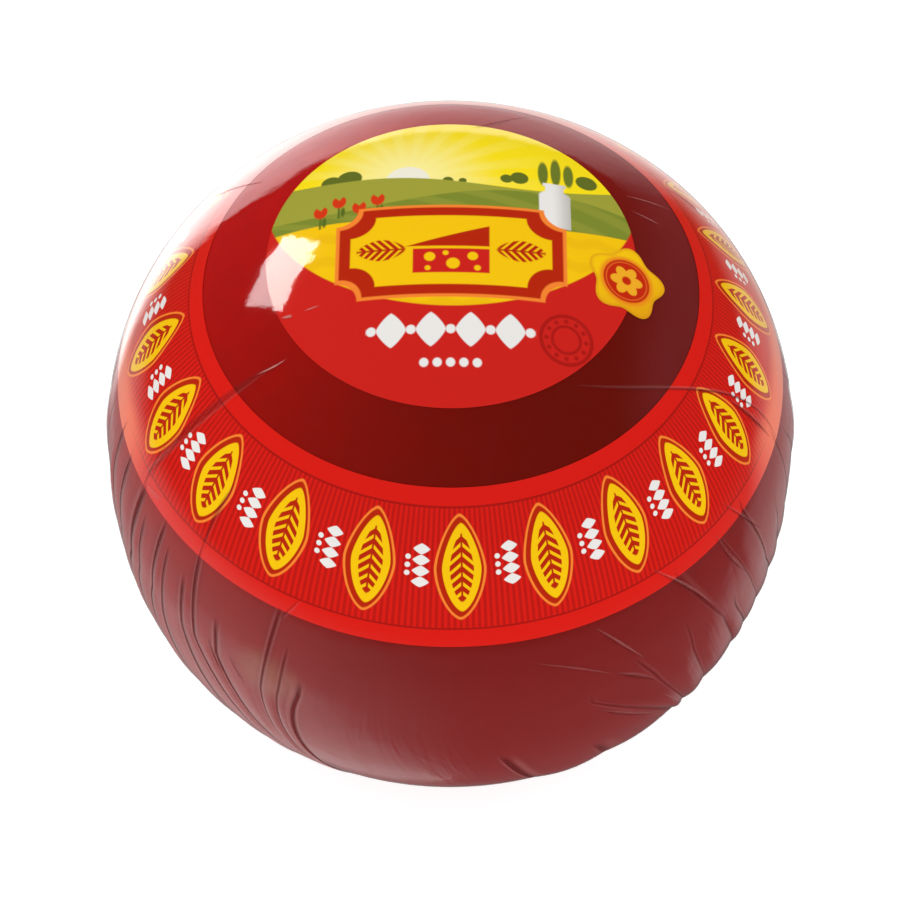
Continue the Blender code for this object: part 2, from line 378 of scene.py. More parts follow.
def puff_strength(height, start):
    """How much of a pleat's puff shows at a height: none on the crown or foot."""
    below_start = (WAIST_HEIGHT + start - height) / PUFF_FADE
    return smooth_step(below_start) * smooth_step(height / PUFF_FADE)


def strayed_azimuth(azimuth, above, below, height):
    """Where a column that crosses the waist at azimuth lies at a height."""
    risen = np.clip((height - WAIST_HEIGHT) / (BAND_EDGE_HEIGHT - WAIST_HEIGHT), 0.0, 1.0)
    fallen = np.clip(1.0 - height / WAIST_HEIGHT, 0.0, 1.0)
    return azimuth + above * risen + PLEAT_TWIST * fallen ** 1.2 \
        + below * fallen * (1.0 - fallen) / 0.236


# ---------------------------------------------------------------------------
# Meshes.
# ---------------------------------------------------------------------------

def ring_faces(rings, columns):
    """Quads between rings of columns points each; the rings close on themselves."""
    ring, column = np.meshgrid(np.arange(rings - 1), np.arange(columns), indexing="ij")
    after = (column + 1) % columns
    corners = (ring * columns + column, (ring + 1) * columns + column,
               (ring + 1) * columns + after, ring * columns + after)
    return np.stack(corners, axis=-1).reshape(-1, 4)


def strip_faces(steps, count):
    """Quads between steps rows of count points each."""
    step, place = np.meshgrid(np.arange(steps - 1), np.arange(count - 1), indexing="ij")
    corner = step * count + place
    corners = (corner, corner + 1, corner + count + 1, corner + count)
    return np.stack(corners, axis=-1).reshape(-1, 4)


def fan_faces(ring_start, columns, middle, outward_up):
    """Triangles from one ring to a single middle point."""
    column = np.arange(columns)
    after = (column + 1) % columns
    first, second = (column, after) if outward_up else (after, column)
    middles = np.full(columns, middle)
    return np.column_stack((ring_start + first, ring_start + second, middles))


def make_mesh(name, points, faces, attributes=()):
    """A smooth-shaded mesh; attributes are (name, type, values for each vertex)."""
    mesh = bpy.data.meshes.new(name)
    mesh.from_pydata(points.tolist(), [], [face for part in faces for face in part.tolist()])
    for title, kind, values in attributes:
        field = "vector" if kind == 'FLOAT_VECTOR' else "value"
        layer = mesh.attributes.new(title, kind, 'POINT')
        layer.data.foreach_set(field, np.ascontiguousarray(values, dtype=np.float32).ravel())
    mesh.shade_smooth()
    mesh.update()
    return mesh


def add_piece(name, mesh, material):
    """A new piece of the part, in the part's only body."""
    piece = bpy.data.objects.new(name, mesh)
    mesh.materials.append(material)
    bpy.context.scene.collection.objects.link(piece)
    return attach(piece, "root")


def pleated_ball(name, rows, columns, lift, pleat_height):
    """A closed, pleated ball whose skin lies lift outside the CAD outline.

    Below the band, where there is no print under the film, the lift shrinks.
    """
    azimuth, above, below, fold_start, puff_start, dark, gap, puff = columns
    outline = ball_outline(rows)
    outward = outward_directions(outline)
    over_print = smooth_step((outline[1:-1, 1:] - WAIST_HEIGHT) / 0.02)
    lifted = outline[1:-1] + lift * (0.4 + 0.6 * over_print) * outward[1:-1]
    radius, height = lifted.T[:, :, None]
    height = np.maximum(height, 0.0)
    radius = radius + puff * puff_strength(height, puff_start) * pleat_height
    bearing = np.radians(strayed_azimuth(azimuth, above, below, height))
    points = np.stack((radius * np.sin(bearing), -radius * np.cos(bearing),
                       np.broadcast_to(height, bearing.shape)), axis=-1).reshape(-1, 3)
    poles = ((0.0, 0.0, outline[0, 1] + lift), (0.0, 0.0, 0.0))
    points = np.vstack((points, poles))

    count, rings = len(azimuth), rows - 2
    faces = (ring_faces(rings, count), fan_faces(0, count, len(points) - 2, True),
             fan_faces((rings - 1) * count, count, len(points) - 1, False))

    # The fold attribute carries the strength of the painted shade along each fold.
    fold_reach = smooth_step((WAIST_HEIGHT + fold_start + 0.003 - height) / 0.007)
    folds = np.append((dark * fold_reach).ravel(), (0.0, 0.0))
    gaps = np.append(np.broadcast_to(gap, bearing.shape).ravel(), (100.0, 100.0))
    turn = np.radians(azimuth)
    along = np.broadcast_to(np.stack((np.sin(turn), -np.cos(turn)), axis=-1),
                            (*bearing.shape, 2))
    sheet = np.concatenate((along, (height / WAIST_RADIUS * np.ones_like(bearing))[..., None]),
                           axis=-1).reshape(-1, 3)
    sheet = np.vstack((sheet, (0.0, 0.0, 2.0), (0.0, 0.0, 0.0)))
    return make_mesh(name, points, faces, (("fold", 'FLOAT', folds), ("gap", 'FLOAT', gaps),
                                           ("sheet", 'FLOAT_VECTOR', sheet)))


def crease_mesh(name, film):
    """Thin ribbons that lie on the film's mesh, one for each small crease, carrying a painted
    shade line and a painted highlight line.
    """
    tree = BVHTree.FromPolygons([point.co for point in film.vertices],
                                [face.vertices for face in film.polygons])
    outline = ball_outline(1500)
    run = np.concatenate(([0.0], np.cumsum(np.hypot(*np.diff(outline, axis=0).T))))
    run = np.interp(WAIST_HEIGHT, outline[::-1, 1], run[::-1]) - run
    steps, offsets = 28, (-1.0, -0.55, -0.1, 0.35, 0.8, 1.2)
    points, faces, cover, shade = [], [], [], []
    for places, width, dark, light in CREASES:
        azimuths, rises = zip(*places)
        knots = np.linspace(0.0, 1.0, len(places))
        share = np.linspace(0.0, 1.0, steps)
        azimuth = np.radians(np.polyval(np.polyfit(knots, azimuths, 2), share))
        rise = np.polyval(np.polyfit(knots, rises, 2), share) / 1000
        radius, height = (np.interp(-rise, -run, outline[:, axis]) for axis in (0, 1))
        line = np.stack((radius * np.sin(azimuth), -radius * np.cos(azimuth), height), axis=-1)
        along = np.gradient(line, axis=0)
        out = np.stack((np.sin(azimuth), -np.cos(azimuth), 0.0 * azimuth), axis=-1)
        side = np.cross(out, along)
        side /= np.linalg.norm(side, axis=1)[:, None]
        taper = np.sin(np.pi * share) ** 0.6
        first = len(points)
        for place, away, fullness in zip(line, side, taper):
            for offset in offsets:
                spot = Vector(place + away * offset * width * fullness / 1000)
                middle = Vector((0.0, 0.0, spot.z))
                toward = (middle - spot).normalized()
                found, normal, _face, _far = tree.ray_cast(spot - toward * 0.02, toward)
                points.append(found + normal * 0.00004)
            # Cover holds how strong the painted shade (dark) and the painted highlight (light)
            # are across the ribbon; shade picks between them.
            cover.extend(np.array((0.0, dark, dark, light, light, 0.0)) * fullness)
            shade.extend((0.0, 0.0, 0.0, 1.0, 1.0, 1.0))
        faces.append(first + strip_faces(steps, len(offsets)))
    return make_mesh(name, np.array(points), faces, (("cover", 'FLOAT', cover),
                                                     ("shade", 'FLOAT', shade)))


def crown_run(radius):
    """Distance along the crown, from the axis out to a radius."""
    line = np.column_stack(crown_point(np.linspace(math.pi / 2, 0.0, 2000)))
    line[0, 0] = 0.0
    run = np.concatenate(([0.0], np.cumsum(np.hypot(*np.diff(line, axis=0).T))))
    return np.interp(radius, line[:, 0], run)


def draped(points, lift):
    """Level points (x, y) dropped on the crown, lift above it."""
    radius = np.maximum(np.hypot(*points.T), 1e-9)
    level, height = crown_point(crown_angle(radius), lift)
    return np.column_stack((points * (level / radius)[:, None], height))


def add_shell(name, mesh, material):
    """A printed piece: a draped mesh with a little thickness under it and a crisp rim."""
    uses = Counter(key for face in mesh.polygons for key in face.edge_keys)
    for edge in mesh.edges:
        edge.use_edge_sharp = uses[edge.key] == 1
    piece = add_piece(name, mesh, material)
    thicken = piece.modifiers.new("thickness", 'SOLIDIFY')
    thicken.thickness = PRINT_THICKNESS
    thicken.offset = -1.0
    return piece


def draped_disc(name, rings, columns, middle, squash, reach, lift):
    """A draped disc; reach gives the edge's distance from its middle at an angle."""
    angle = np.linspace(0.0, 2 * math.pi, columns, endpoint=False)
    share = np.linspace(1.0, 1 / rings, rings)[:, None]
    level = share * reach(angle)
    flat = np.stack((level * np.cos(angle), level * np.sin(angle)), axis=-1).reshape(-1, 2)
    flat = np.vstack((flat, (0.0, 0.0)))
    points = draped(flat * squash + middle, lift)
    faces = (ring_faces(rings, columns)[:, ::-1],
             fan_faces((rings - 1) * columns, columns, len(points) - 1, True))
    sheet = np.column_stack((flat, np.zeros(len(flat))))
    return make_mesh(name, points, faces, (("flat", 'FLOAT_VECTOR', sheet),))


# ---------------------------------------------------------------------------
# Shader maths.
# ---------------------------------------------------------------------------

class Wire:
    """A socket that can stand in a sum: each operation adds a Math node."""

    def __init__(self, nodes, socket):
        self.nodes = nodes
        self.socket = socket

    def __add__(self, other):
        return self.nodes.maths('ADD', self, other)

    def __sub__(self, other):
        return self.nodes.maths('SUBTRACT', self, other)

    def __rsub__(self, other):
        return self.nodes.maths('SUBTRACT', other, self)

    def __mul__(self, other):
        return self.nodes.maths('MULTIPLY', self, other)

    def __truediv__(self, other):
        return self.nodes.maths('DIVIDE', self, other)

    def __rtruediv__(self, other):
        return self.nodes.maths('DIVIDE', other, self)

    def __pow__(self, other):
        return self.nodes.maths('POWER', self, other)

    def __neg__(self):
        return self.nodes.maths('MULTIPLY', self, -1.0)

    def __abs__(self):
        return self.nodes.maths('ABSOLUTE', self)

    __radd__ = __add__
    __rmul__ = __mul__

    def sine(self):
        return self.nodes.maths('SINE', self)

    def cosine(self):
        return self.nodes.maths('COSINE', self)

    def at_least(self, other):
        return self.nodes.maths('MAXIMUM', self, other)

    def at_most(self, other):
        return self.nodes.maths('MINIMUM', self, other)

    def wrapped(self, period):
        """What is left after the nearest whole number of periods is taken off."""
        return self - self.nodes.maths('ROUND', self / period) * period

    def inside(self, edge):
        """1 where a signed distance is below 0, softened over the edge's width."""
        return self.nodes.maths('SUBTRACT', 0.5, self / edge, clamp=True)

    def rise(self, low, high):
        """0 below low, 1 above high, and a smooth curve between."""
        return self.nodes.add("ShaderNodeMapRange", {"interpolation_type": 'SMOOTHSTEP'},
                              {"Value": self, "From Min": low, "From Max": high})


class Nodes:
    """The node tree of one material or world."""

    def __init__(self, owner):
        owner.use_nodes = True
        self.tree = owner.node_tree
        self.tree.nodes.clear()
        self.output = "ShaderNodeOutputMaterial"
        if isinstance(owner, bpy.types.World):
            self.output = "ShaderNodeOutputWorld"

    def add(self, kind, settings=None, inputs=None, output=0):
        """Add a node: first its settings, then its sockets' values or links."""
        node = self.tree.nodes.new(kind)
        for name, value in (settings or {}).items():
            setattr(node, name, value)
        for name, value in (inputs or {}).items():
            if isinstance(value, Wire):
                self.tree.links.new(value.socket, node.inputs[name])
            else:
                node.inputs[name].default_value = value
        return Wire(self, node.outputs[output])

    def maths(self, operation, *values, clamp=False):
        settings = {"operation": operation, "use_clamp": clamp}
        return self.add("ShaderNodeMath", settings, dict(enumerate(values)))

    def mix(self, share, first, second):
        """A colour between two: the first at share 0, the second at share 1."""
        ends = {6: as_colour(first), 7: as_colour(second)}
        return self.add("ShaderNodeMix", {"data_type": 'RGBA'}, {0: share, **ends}, output=2)

    def paint(self, ground, *layers):
        """Colours laid one over another; each layer is (mask, colour)."""
        for mask, colour in layers:
            ground = self.mix(mask, ground, colour)
        return ground

    def mix_shaders(self, share, first, second):
        return self.add("ShaderNodeMixShader", None, {0: share, 1: first, 2: second})

    def split(self, vector):
        """The three numbers of a vector."""
        first = self.add("ShaderNodeSeparateXYZ", None, {"Vector": vector})
        return [Wire(self, socket) for socket in first.socket.node.outputs]

    def place(self):
        """Where a point is in the part, in metres."""
        return self.add("ShaderNodeTexCoord", output="Object")

    def attribute(self, name, output):
        return self.add("ShaderNodeAttribute", {"attribute_name": name}, output=output)

    def grain(self, vector, scale, detail=2.0, distortion=0.0):
        """Noise round zero, from about -0.5 to 0.5."""
        return self.add("ShaderNodeTexNoise", None, {
            "Vector": vector, "Scale": scale, "Detail": detail,
            "Distortion": distortion}) - 0.5

    def stretched(self, vector, scale):
        return self.add("ShaderNodeMapping", None, {"Vector": vector, "Scale": scale})

    def bump(self, height):
        """A normal from a height in metres."""
        return self.add("ShaderNodeBump", None, {"Strength": 1.0, "Distance": 1.0,
                                                 "Height": height})

    def finish(self, surface):
        """Connect a shader to the tree's output."""
        output = self.tree.nodes.new(self.output)
        self.tree.links.new(surface.socket, output.inputs["Surface"])


def as_colour(value):
    return value if isinstance(value, Wire) else (*value, 1.0)


def new_material(name):
    material = bpy.data.materials.new(name)
    return material, Nodes(material)


# ---------------------------------------------------------------------------
# Simple printed shapes, as signed distances: below 0 inside.
# ---------------------------------------------------------------------------

def span(across, along):
    return (across * across + along * along) ** 0.5


def disc(u, v, middle, radius):
    return span(u - middle[0], v - middle[1]) - radius


def oval(u, v, middle, half_width, half_height):
    share = span((u - middle[0]) / half_width, (v - middle[1]) / half_height)
    return (share - 1.0) * min(half_width, half_height)


def box_shape(u, v, middle, half_width, half_height):
    across = abs(u - middle[0]) - half_width
    return across.at_least(abs(v - middle[1]) - half_height)


def union(shapes):
    """One shape made of several."""
    joined = shapes[0]
    for shape in shapes[1:]:
        joined = joined.at_most(shape)
    return joined


def plaque_shape(u, v, half_width, half_height, notch):
    """A wide plaque whose four corners are scooped out."""
    scoop = notch - span(abs(u) - half_width, abs(v) - half_height)
    return box_shape(u, v, (0.0, 0.0), half_width, half_height).at_least(scoop)


def lozenge(u, v, half_width, half_height, bow):
    """A lozenge; bow is 1 for straight sides and 2 for an oval."""
    share = abs(u / half_width) ** bow + abs(v / half_height) ** bow
    return (share ** (1 / bow) - 1.0) * min(half_width, half_height)


def wheat_ear(u, v, half_width, half_height, grains):
    """Chevron grains in a slim lozenge, pointing along v."""
    pitch = 2 * half_height / grains
    chevron = abs((v - abs(u) * 0.9).wrapped(pitch)) - pitch * 0.30
    stem = abs(u) - half_width * 0.08
    return lozenge(u, v, half_width, half_height, 1.6).at_least(chevron.at_most(stem))


# ---------------------------------------------------------------------------
# Materials.
# ---------------------------------------------------------------------------

def wax_material(wrap):
    """Red wax: clouded; painted light makes it bright on the shoulder at the left and paler
    below the band.
    """
    material, nodes = new_material("red_wax")
    place = nodes.place()
    x, y, z = nodes.split(place)
    rise = (z - WAIST_HEIGHT) / WAIST_RADIUS
    level = span(x, y).at_least(0.001)
    # Painted light: the wax is painted brighter on the shoulder that faces the key light at the
    # back left.
    shoulder = ((y * 0.5 - x * 0.866) / level * 0.5 + 0.5) ** 1.6
    # Painted haze: a pale reflection painted on the right of the crown.
    painted_haze = (x / WAIST_RADIUS).rise(0.42, 0.62) * rise.rise(0.9, 0.7)
    # Painted light: below the band the wax turns to the paler belly colours, brightest towards
    # the left.
    below_band = rise.rise(0.38, 0.28)
    left = (-x / WAIST_RADIUS).rise(0.1, 1.0)
    cloud = nodes.grain(place, 28.0, 3.0, 0.4)
    mottle = nodes.grain(place, 170.0, 2.0)
    crown = nodes.paint(
        tuple(wrap.wax_red),
        ((shoulder + cloud * 0.12).at_least(0.0).at_most(1.0), tuple(wrap.wax_painted_lit)),
        (painted_haze * (cloud + 0.6), tuple(wrap.wax_painted_haze)))
    belly = nodes.mix((left + cloud * 0.35).at_least(0.0).at_most(1.0),
                      tuple(wrap.wax_low), tuple(wrap.wax_low_left_painted_lit))
    colour = nodes.mix(below_band, crown, belly)
    fold, gap = nodes.attribute("fold", "Fac"), nodes.attribute("gap", "Fac")
    # Painted highlight: a light strip painted just beside each fold.
    painted_ridge_highlight = fold * gap.rise(0.9, 1.6) * gap.rise(3.0, 1.8)
    # Random mottle, plus painted shade beside each fold.
    shade = (mottle * 0.5 + 0.06).at_least(0.0) + fold * gap.rise(6.0, 0.5) * 0.6
    stain = span(span(x + 0.0375, y + 0.0646), z - WAIST_HEIGHT - 0.003)
    stain = stain.rise(0.011, 0.003) * (nodes.grain(place, 130.0, 2.0) + 0.5)
    colour = nodes.mix(stain * 0.9, colour, (0.26, 0.115, 0.070))
    colour = nodes.paint(colour, (shade, tuple(wrap.fold_shade_red)),
                         (painted_ridge_highlight * 0.16, tuple(wrap.painted_highlight)))
    dimples = nodes.bump(mottle * 0.00008 + nodes.grain(place, 600.0, 1.0) * 0.00001)
    nodes.finish(nodes.add("ShaderNodeBsdfPrincipled", None, {
        "Base Color": colour, "Roughness": 0.5, "Specular IOR Level": 0.0,
        "Sheen Weight": 0.35, "Sheen Roughness": 0.4, "Sheen Tint": (0.85, 0.10, 0.10, 1.0),
        "Normal": dimples}))
    return material


def film_material(wrap):
    """Clear film: it mirrors at a slant, is faintly milky, and is painted dark red in its tucks
    as painted shade.
    """
    material, nodes = new_material("clear_film")
    place = nodes.place()
    fold = nodes.attribute("fold", "Fac")
    gap = nodes.attribute("gap", "Fac")
    sheet = nodes.attribute("sheet", "Vector")
    along_pleats = nodes.stretched(sheet, (26.0, 26.0, 2.5))
    gathered = nodes.split(sheet)[2].rise(1.2, 0.95)
    height = nodes.grain(place, 60.0, 2.0, 0.6) * 0.00016 \
        + nodes.grain(along_pleats, 1.0, 2.0, 0.5) * gathered * 0.00012 \
        + nodes.grain(nodes.stretched(place, (1.0, 1.0, 0.45)), 330.0, 2.0) * 0.000032
    normal = nodes.bump(height)
    gloss = nodes.add("ShaderNodeBsdfGlossy", None, {
        "Color": (1.0, 1.0, 1.0, 1.0), "Roughness": wrap.film_roughness, "Normal": normal})
    clear = nodes.add("ShaderNodeBsdfTransparent")
    mirror = nodes.add("ShaderNodeFresnel", None, {"IOR": wrap.film_ior, "Normal": normal})
    outer_face = 1.0 - nodes.add("ShaderNodeNewGeometry", output="Backfacing")
    film = nodes.mix_shaders(mirror * outer_face, clear, gloss)
    # Painted shade: the tucks are painted dark red, strongest at the fold's line.
    tuck_painted_shade = nodes.add("ShaderNodeBsdfPrincipled", None, {
        "Base Color": as_colour(tuple(wrap.fold_shade_red)), "Roughness": 0.5,
        "Specular IOR Level": 0.05})
    nodes.finish(nodes.mix_shaders(fold * gap.rise(1.0, 0.35) * 0.9, film, tuck_painted_shade))
    return material


def crease_material(wrap):
    """Creases: a painted shade line in dark red with a painted highlight line beside it, fading
    at the edges.
    """
    material, nodes = new_material("film_crease")
    shade = nodes.attribute("shade", "Fac")
    cover = nodes.attribute("cover", "Fac")
    nodes.finish(nodes.add("ShaderNodeBsdfPrincipled", None, {
        "Base Color": nodes.mix(shade, tuple(wrap.fold_shade_red), tuple(wrap.painted_highlight)),
        "Roughness": 0.4, "Specular IOR Level": 0.2, "Alpha": cover}))
    return material


def print_material(name, nodes_to_colour):
    """Print with a warm sheen; nodes_to_colour works out its colour from its nodes."""
    material, nodes = new_material(name)
    colour = nodes_to_colour(nodes)
    nodes.finish(nodes.add("ShaderNodeBsdfPrincipled", None, {
        "Base Color": colour, "Roughness": 0.05, "Specular IOR Level": 0.5,
        "Specular Tint": (1.0, 0.85, 0.70, 1.0), "Sheen Weight": 0.9,
        "Sheen Roughness": 0.28, "Sheen Tint": (1.0, 0.26, 0.09, 1.0)}))
    return material


def band_colour(nodes, inks):
    """Red band with hatching, medallions and white ornaments between them, and painted light:
    an orange glow on its outer rim at both sides.
    """
    x, y, _z = nodes.split(nodes.place())
    out = nodes.split(nodes.attribute("flat", "Vector"))[2]
    azimuth = nodes.maths('ARCTAN2', x, -y)
    pitch = 2 * math.pi / inks.medallions
    warp = math.radians(5.1)
    level = azimuth - (azimuth - azimuth.cosine() * warp).cosine() * warp

    def across(offset):
        """Metres sideways from the nearest medallion's middle, moved by offset degrees."""
        place = level - math.radians(-3.1 + offset)
        return place.wrapped(pitch) * MEDALLION_MIDDLE_RADIUS

    red, dark_red = tuple(inks.band_red), tuple(inks.dark_red)
    yellow, orange, white = tuple(inks.yellow), tuple(inks.orange), tuple(inks.white)
    inner_line, outer_line = (float(crown_run(radius)) for radius in BAND_LINE_RADII)
    middle = float(crown_run(MEDALLION_MIDDLE_RADIUS))
    deep_red = (0.48, 0.020, 0.004)
    edge = 0.00012

    hatch_pitch = pitch / 16
    hatch = abs(level.wrapped(hatch_pitch)) / hatch_pitch
    hatched = (out - inner_line).inside(edge * -2) * (out - outer_line).inside(edge * 2)
    lines = (abs(out - inner_line) - 0.00022).inside(edge) \
        .at_least((abs(out - outer_line) - 0.00022).inside(edge))

    # Painted light: the outer rim is painted paler and more orange at both sides, where it
    # catches grazing light.
    painted_side_glow = abs(azimuth.cosine()).rise(0.46, 0.24) * (out - outer_line).rise(-0.006, 0.0)

    p, q = across(0.0), out - middle
    outline = lozenge(p, q, 0.0052, 0.0112, 1.55)
    ring = lozenge(p, q, 0.0047, 0.0106, 1.55)
    heart = lozenge(p - 0.0003, q, 0.0039, 0.0093, 1.55)
    ear = wheat_ear(p - 0.0003, q, 0.0024, 0.0072, 7)

    p_large, p_small = across(-7.1), across(-9.5)
    q_marks = q + 0.0004
    large = lozenge(p_large, (q_marks + 0.00115).wrapped(0.0023), 0.0017, 0.00112, 1.25) \
        .at_least(abs(q_marks) - 0.0046)
    small = (span(p_small, q_marks.wrapped(0.0017)) - 0.00055) \
        .at_least(abs(q_marks) - 0.0024)
    return nodes.paint(
        red,
        (hatched * (hatch - 0.25).inside(0.2) * 0.55, dark_red),
        (lines * 0.8, dark_red),
        (painted_side_glow * 0.8, (1.0, 0.18, 0.07)),
        (large.inside(edge), white),
        (small.inside(edge), white),
        (outline.inside(edge), orange),
        (ring.inside(edge), deep_red),
        (heart.inside(edge), yellow),
        (ear.inside(edge), deep_red),
    )


def label_colour(nodes, inks):
    """Round label: a sun over fields above, and an ornament on red below."""
    u, v, _w = nodes.split(nodes.attribute("flat", "Vector"))
    u, v = u / LABEL_RADIUS, v / LABEL_RADIUS
    red, dark_red = tuple(inks.red), tuple(inks.dark_red)
    yellow, orange, white = tuple(inks.yellow), tuple(inks.orange), tuple(inks.white)
    green = tuple(inks.green)
    light_green = (0.36, 0.36, 0.045)
    grey = (0.45, 0.42, 0.38)
    deep_red = (0.48, 0.020, 0.004)
    edge = 0.008

    picture = oval(u, v, (0.0, 0.45), 1.015, 0.893).inside(edge)
    horizon = 0.40 + u * u * 0.16
    sun_u, sun_v = -0.24, 0.44
    far_from_sun = span(u - sun_u, v - sun_v)
    ray_angle = nodes.maths('ARCTAN2', v - sun_v, u - sun_u)
    rays = (abs(ray_angle.wrapped(math.pi / 11)) - 0.07).inside(0.04) \
        * (1.0 - far_from_sun.rise(0.15, 0.95))
    glow = 1.0 - far_from_sun.rise(0.05, 0.55)
    sky = nodes.paint((1.0, 0.78, 0.010), (glow * 0.8, (1.0, 0.92, 0.42)),
                      (rays * 0.30, (1.0, 0.92, 0.30)),
                      (disc(u, v, (sun_u, sun_v), 0.12).inside(edge), (0.90, 0.87, 0.72)))

    far_hill = (v - horizon - (u * 3.4 + 0.9).cosine() * 0.055).inside(edge)
    near_hill = (v - 0.30 - (u * 2.6 - 1.1).cosine() * 0.075).inside(edge)
    furrows = ((v - 0.62) / (u * 0.35 + 1.0) * 46.0 + u * 9.0).sine().rise(-0.2, 0.6)
    wheat = (v - 0.125 - (u * 3.1 + 2.2).cosine() * 0.03).inside(edge)
    stalks = ((u * 30.0).sine() * 0.6 + v * 40.0).sine().rise(-0.3, 0.8)

    bushes = union([disc(u, v, middle, radius) for middle, radius in (
        ((-0.66, 0.49), 0.055), ((-0.56, 0.50), 0.070), ((-0.02, 0.435), 0.030),
        ((0.06, 0.435), 0.022), ((0.30, 0.47), 0.035), ((0.37, 0.485), 0.050),
        ((0.74, 0.53), 0.060))])
    poplars = union([oval(u, v, middle, 0.028, half_height) for middle, half_height in (
        ((0.50, 0.55), 0.105), ((0.57, 0.575), 0.125), ((0.64, 0.56), 0.100))])

    churn_u, churn_v = u - 0.56, v - 0.26
    churn = box_shape(churn_u, churn_v, (0.0, -0.02), 0.085, 0.12) \
        .at_most(oval(churn_u, churn_v, (0.0, 0.10), 0.085, 0.05)) \
        .at_most(box_shape(churn_u, churn_v, (0.0, 0.155), 0.050, 0.035)) \
        .at_most(box_shape(churn_u, churn_v, (0.0, 0.195), 0.062, 0.013))
    churn_shade = churn_u.rise(-0.02, 0.09)

    cups, stems = [], []
    for middle in ((-0.71, 0.26), (-0.61, 0.32), (-0.50, 0.26), (-0.40, 0.31)):
        across, up = u - middle[0], v - middle[1]
        petals = up - 0.010 - abs(across.wrapped(0.044)) * 1.2
        cups.append(oval(u, v, middle, 0.038, 0.050).at_least(petals))
        stems.append(box_shape(across, up, (0.0, -0.085), 0.006, 0.045))
        stems.append(oval(across, up, (0.022, -0.085), 0.012, 0.036))
    tulips, stems = union(cups), union(stems)

    plaque_u, plaque_v = u, v + 0.075
    plaque = plaque_shape(plaque_u, plaque_v, 0.62, 0.315, 0.120)
    plaque_ring = plaque_shape(plaque_u, plaque_v, 0.600, 0.295, 0.125)
    plaque_heart = plaque_shape(plaque_u, plaque_v, 0.540, 0.235, 0.135)
    wedge_side = box_shape(plaque_u, plaque_v, (0.0, -0.080), 0.205, 0.080)
    wedge_top = (plaque_v - 0.030 - (plaque_u + 0.205) * 0.32).at_least(0.018 - plaque_v) \
        .at_least(plaque_u - 0.205)
    holes = union([disc(plaque_u, plaque_v, middle, radius) for middle, radius in (
        ((-0.115, -0.055), 0.030), ((0.010, -0.100), 0.036), ((0.115, -0.050), 0.028),
        ((-0.030, -0.030), 0.016), ((-0.125, -0.130), 0.016), ((0.140, -0.128), 0.018))])
    ears = wheat_ear(plaque_v, abs(plaque_u) - 0.375, 0.072, 0.130, 6)

    mark_v = v + 0.58
    beads = lozenge((u + 0.105).wrapped(0.21), mark_v, 0.080, 0.098, 1.25) \
        .at_most(disc(u.wrapped(0.21), mark_v, (0.0, 0.0), 0.026)) \
        .at_least(abs(u) - 0.447)
    dots = disc(u.wrapped(0.07), v, (0.0, -0.765), 0.024).at_least(abs(u) - 0.175)
    stamp = span(u - 0.61, v + 0.59)
    stamp_rings = (abs(stamp - 0.135) - 0.010).at_most(abs(stamp - 0.075) - 0.008)
    stamp_angle = nodes.maths('ARCTAN2', v + 0.59, u - 0.61)
    stamp_dots = span(stamp_angle.wrapped(math.pi / 6) * 0.105, stamp - 0.105) - 0.012

    field = nodes.paint(
        sky,
        (bushes.inside(edge), (0.12, 0.16, 0.018)),
        (poplars.inside(edge), (0.15, 0.20, 0.022)),
        (far_hill, light_green),
        (near_hill, green),
        (near_hill * furrows * 0.35, (0.36, 0.36, 0.05)),
        (wheat, yellow),
        (wheat * stalks * 0.25, (0.74, 0.36, 0.006)),
        (stems.inside(edge), (0.10, 0.15, 0.018)),
        (tulips.inside(edge), (0.68, 0.040, 0.008)),
        (churn.inside(edge), white),
        (churn.inside(edge) * churn_shade * 0.7, grey),
    )
    return nodes.paint(
        red,
        (picture, field),
        (plaque.inside(edge), orange),
        (plaque_ring.inside(edge), deep_red),
        (plaque_heart.inside(edge), yellow),
        (wedge_side.inside(edge), red),
        (wedge_top.inside(edge), deep_red),
        (holes.inside(edge), yellow),
        (ears.inside(edge), deep_red),
        (beads.inside(edge), white),
        (dots.inside(edge), white),
        (stamp_rings.at_most(stamp_dots).inside(edge) * 0.7, dark_red),
    )


def seal_colour(nodes, inks):
    """Lobed seal: gold, with a red middle that holds a small flower."""
    u, v, _w = nodes.split(nodes.attribute("flat", "Vector"))
    u, v = u / SEAL_RADIUS, v / SEAL_RADIUS
    out = span(u, v)
    angle = nodes.maths('ARCTAN2', v, u)
    lobe = ((angle - SEAL_AZIMUTH) * SEAL_LOBES).cosine()
    rim = out - lobe * (SEAL_LOBE_DEPTH / SEAL_RADIUS)
    lit = ((v - u * 0.5) * 0.5 + 0.5).rise(-0.3, 0.9)
    edge = 0.04
    petals = out - 0.30 - abs((angle * 3.0).cosine()) * 0.16
    deep_red = (0.56, 0.022, 0.004)
    gold = nodes.mix(lit, (0.80, 0.36, 0.006), tuple(inks.yellow))
    return nodes.paint(
        gold,
        (rim.rise(0.86, 1.0) * 0.55, (0.70, 0.26, 0.010)),
        ((out - 0.76).inside(edge * 3), (0.86, 0.27, 0.012)),
        ((out - 0.66).inside(edge), deep_red),
        ((abs(out - 0.58) - 0.012).inside(edge) * 0.7, tuple(inks.orange)),
        (petals.inside(edge), (0.90, 0.42, 0.020)),
        ((out - 0.13).inside(edge), deep_red),
    )


# ---------------------------------------------------------------------------
# Operators.
# ---------------------------------------------------------------------------

